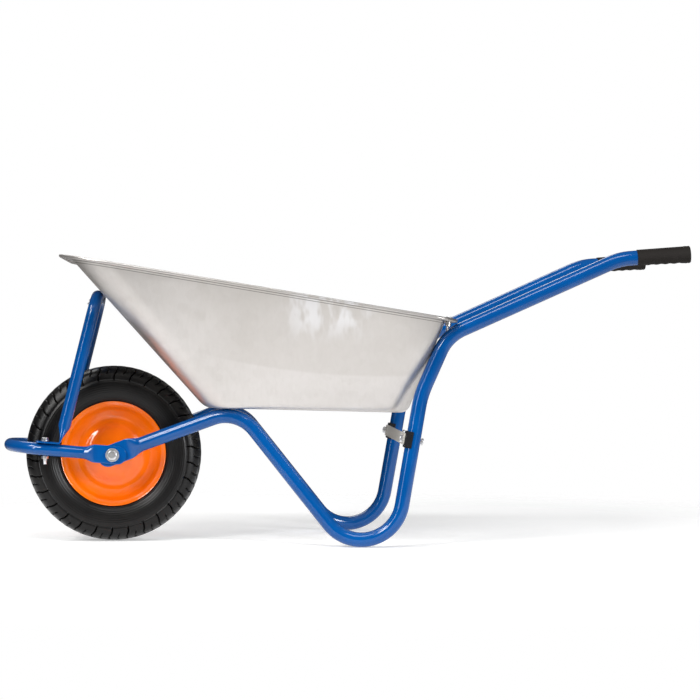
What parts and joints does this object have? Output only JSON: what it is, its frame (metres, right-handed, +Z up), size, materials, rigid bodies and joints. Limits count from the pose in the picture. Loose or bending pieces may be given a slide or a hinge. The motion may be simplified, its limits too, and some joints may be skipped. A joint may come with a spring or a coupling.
{
  "type": "wheelbarrow",
  "caption": "Builder's wheelbarrow with a galvanised steel tray, bent tube frame, front bumper loop, rubber grips and one pneumatic wheel that spins on its axle.",
  "frame": {"origin": "bottom centre of the overall box, on the ground between the tyre and the feet", "axes": "+X towards the handles, +Y to the right of the person pushing, +Z up"},
  "size_m": [1.495, 0.61, 0.6514],
  "materials": {
    "tray_sheet": "hot-dip galvanised sheet, pressed, satin with faint spangle",
    "strap_sheet": "galvanised strip",
    "blue_paint": "glossy blue powder coat",
    "rim_paint": "glossy orange paint",
    "zinc": "bright zinc plate",
    "brass": "plain brass",
    "tyre": "black tyre rubber",
    "inner_tube": "black butyl rubber",
    "grip_rubber": "dark grey moulded rubber",
    "black_plastic": "black nylon"
  },
  "bodies": {
    "frame": {"tray": "tray_sheet", "front_loop": "blue_paint", "front_brace": "blue_paint", "left_rail": "blue_paint", "left_grip": "grip_rubber", "brace_foot_washer_left": "zinc", "brace_foot_bolt_left": "zinc", "brace_foot_nut_left": "zinc", "brace_top_bolt_left": "zinc", "brace_top_spacer_left": "zinc", "brace_top_nut_left": "zinc", "tray_rear_washer_left": "zinc", "tray_rear_bolt_left": "zinc", "tray_rear_spacer_left": "zinc", "strap_bolt_left": "zinc", "strap_nut_left": "zinc", "axle_washer_left": "zinc", "axle_spacer_left": "zinc", "strap_pad_left": "black_plastic", "right_rail": "blue_paint", "right_grip": "grip_rubber", "brace_foot_washer_right": "zinc", "brace_foot_bolt_right": "zinc", "brace_foot_nut_right": "zinc", "brace_top_bolt_right": "zinc", "brace_top_spacer_right": "zinc", "brace_top_nut_right": "zinc", "tray_rear_washer_right": "zinc", "tray_rear_bolt_right": "zinc", "tray_rear_spacer_right": "zinc", "strap_bolt_right": "zinc", "strap_nut_right": "zinc", "axle_washer_right": "zinc", "axle_spacer_right": "zinc", "strap_pad_right": "black_plastic", "leg_strap": "strap_sheet", "axle_bolt": "zinc", "axle_nut": "zinc"},
    "wheel": {"tyre": "tyre", "inner_tube": "inner_tube", "rim_left": "rim_paint", "rim_right": "rim_paint", "hub_tube": "zinc", "bush_left": "black_plastic", "bush_right": "black_plastic", "valve_stem": "brass", "valve_cap": "black_plastic"}
  },
  "joints": [
    {"name": "wheel_spin", "type": "hinge", "parent": "frame", "child": "wheel", "pos_m": [-0.50424, 0, 0.195], "axis": [0, 1, 0], "continuous": true}
  ]
}
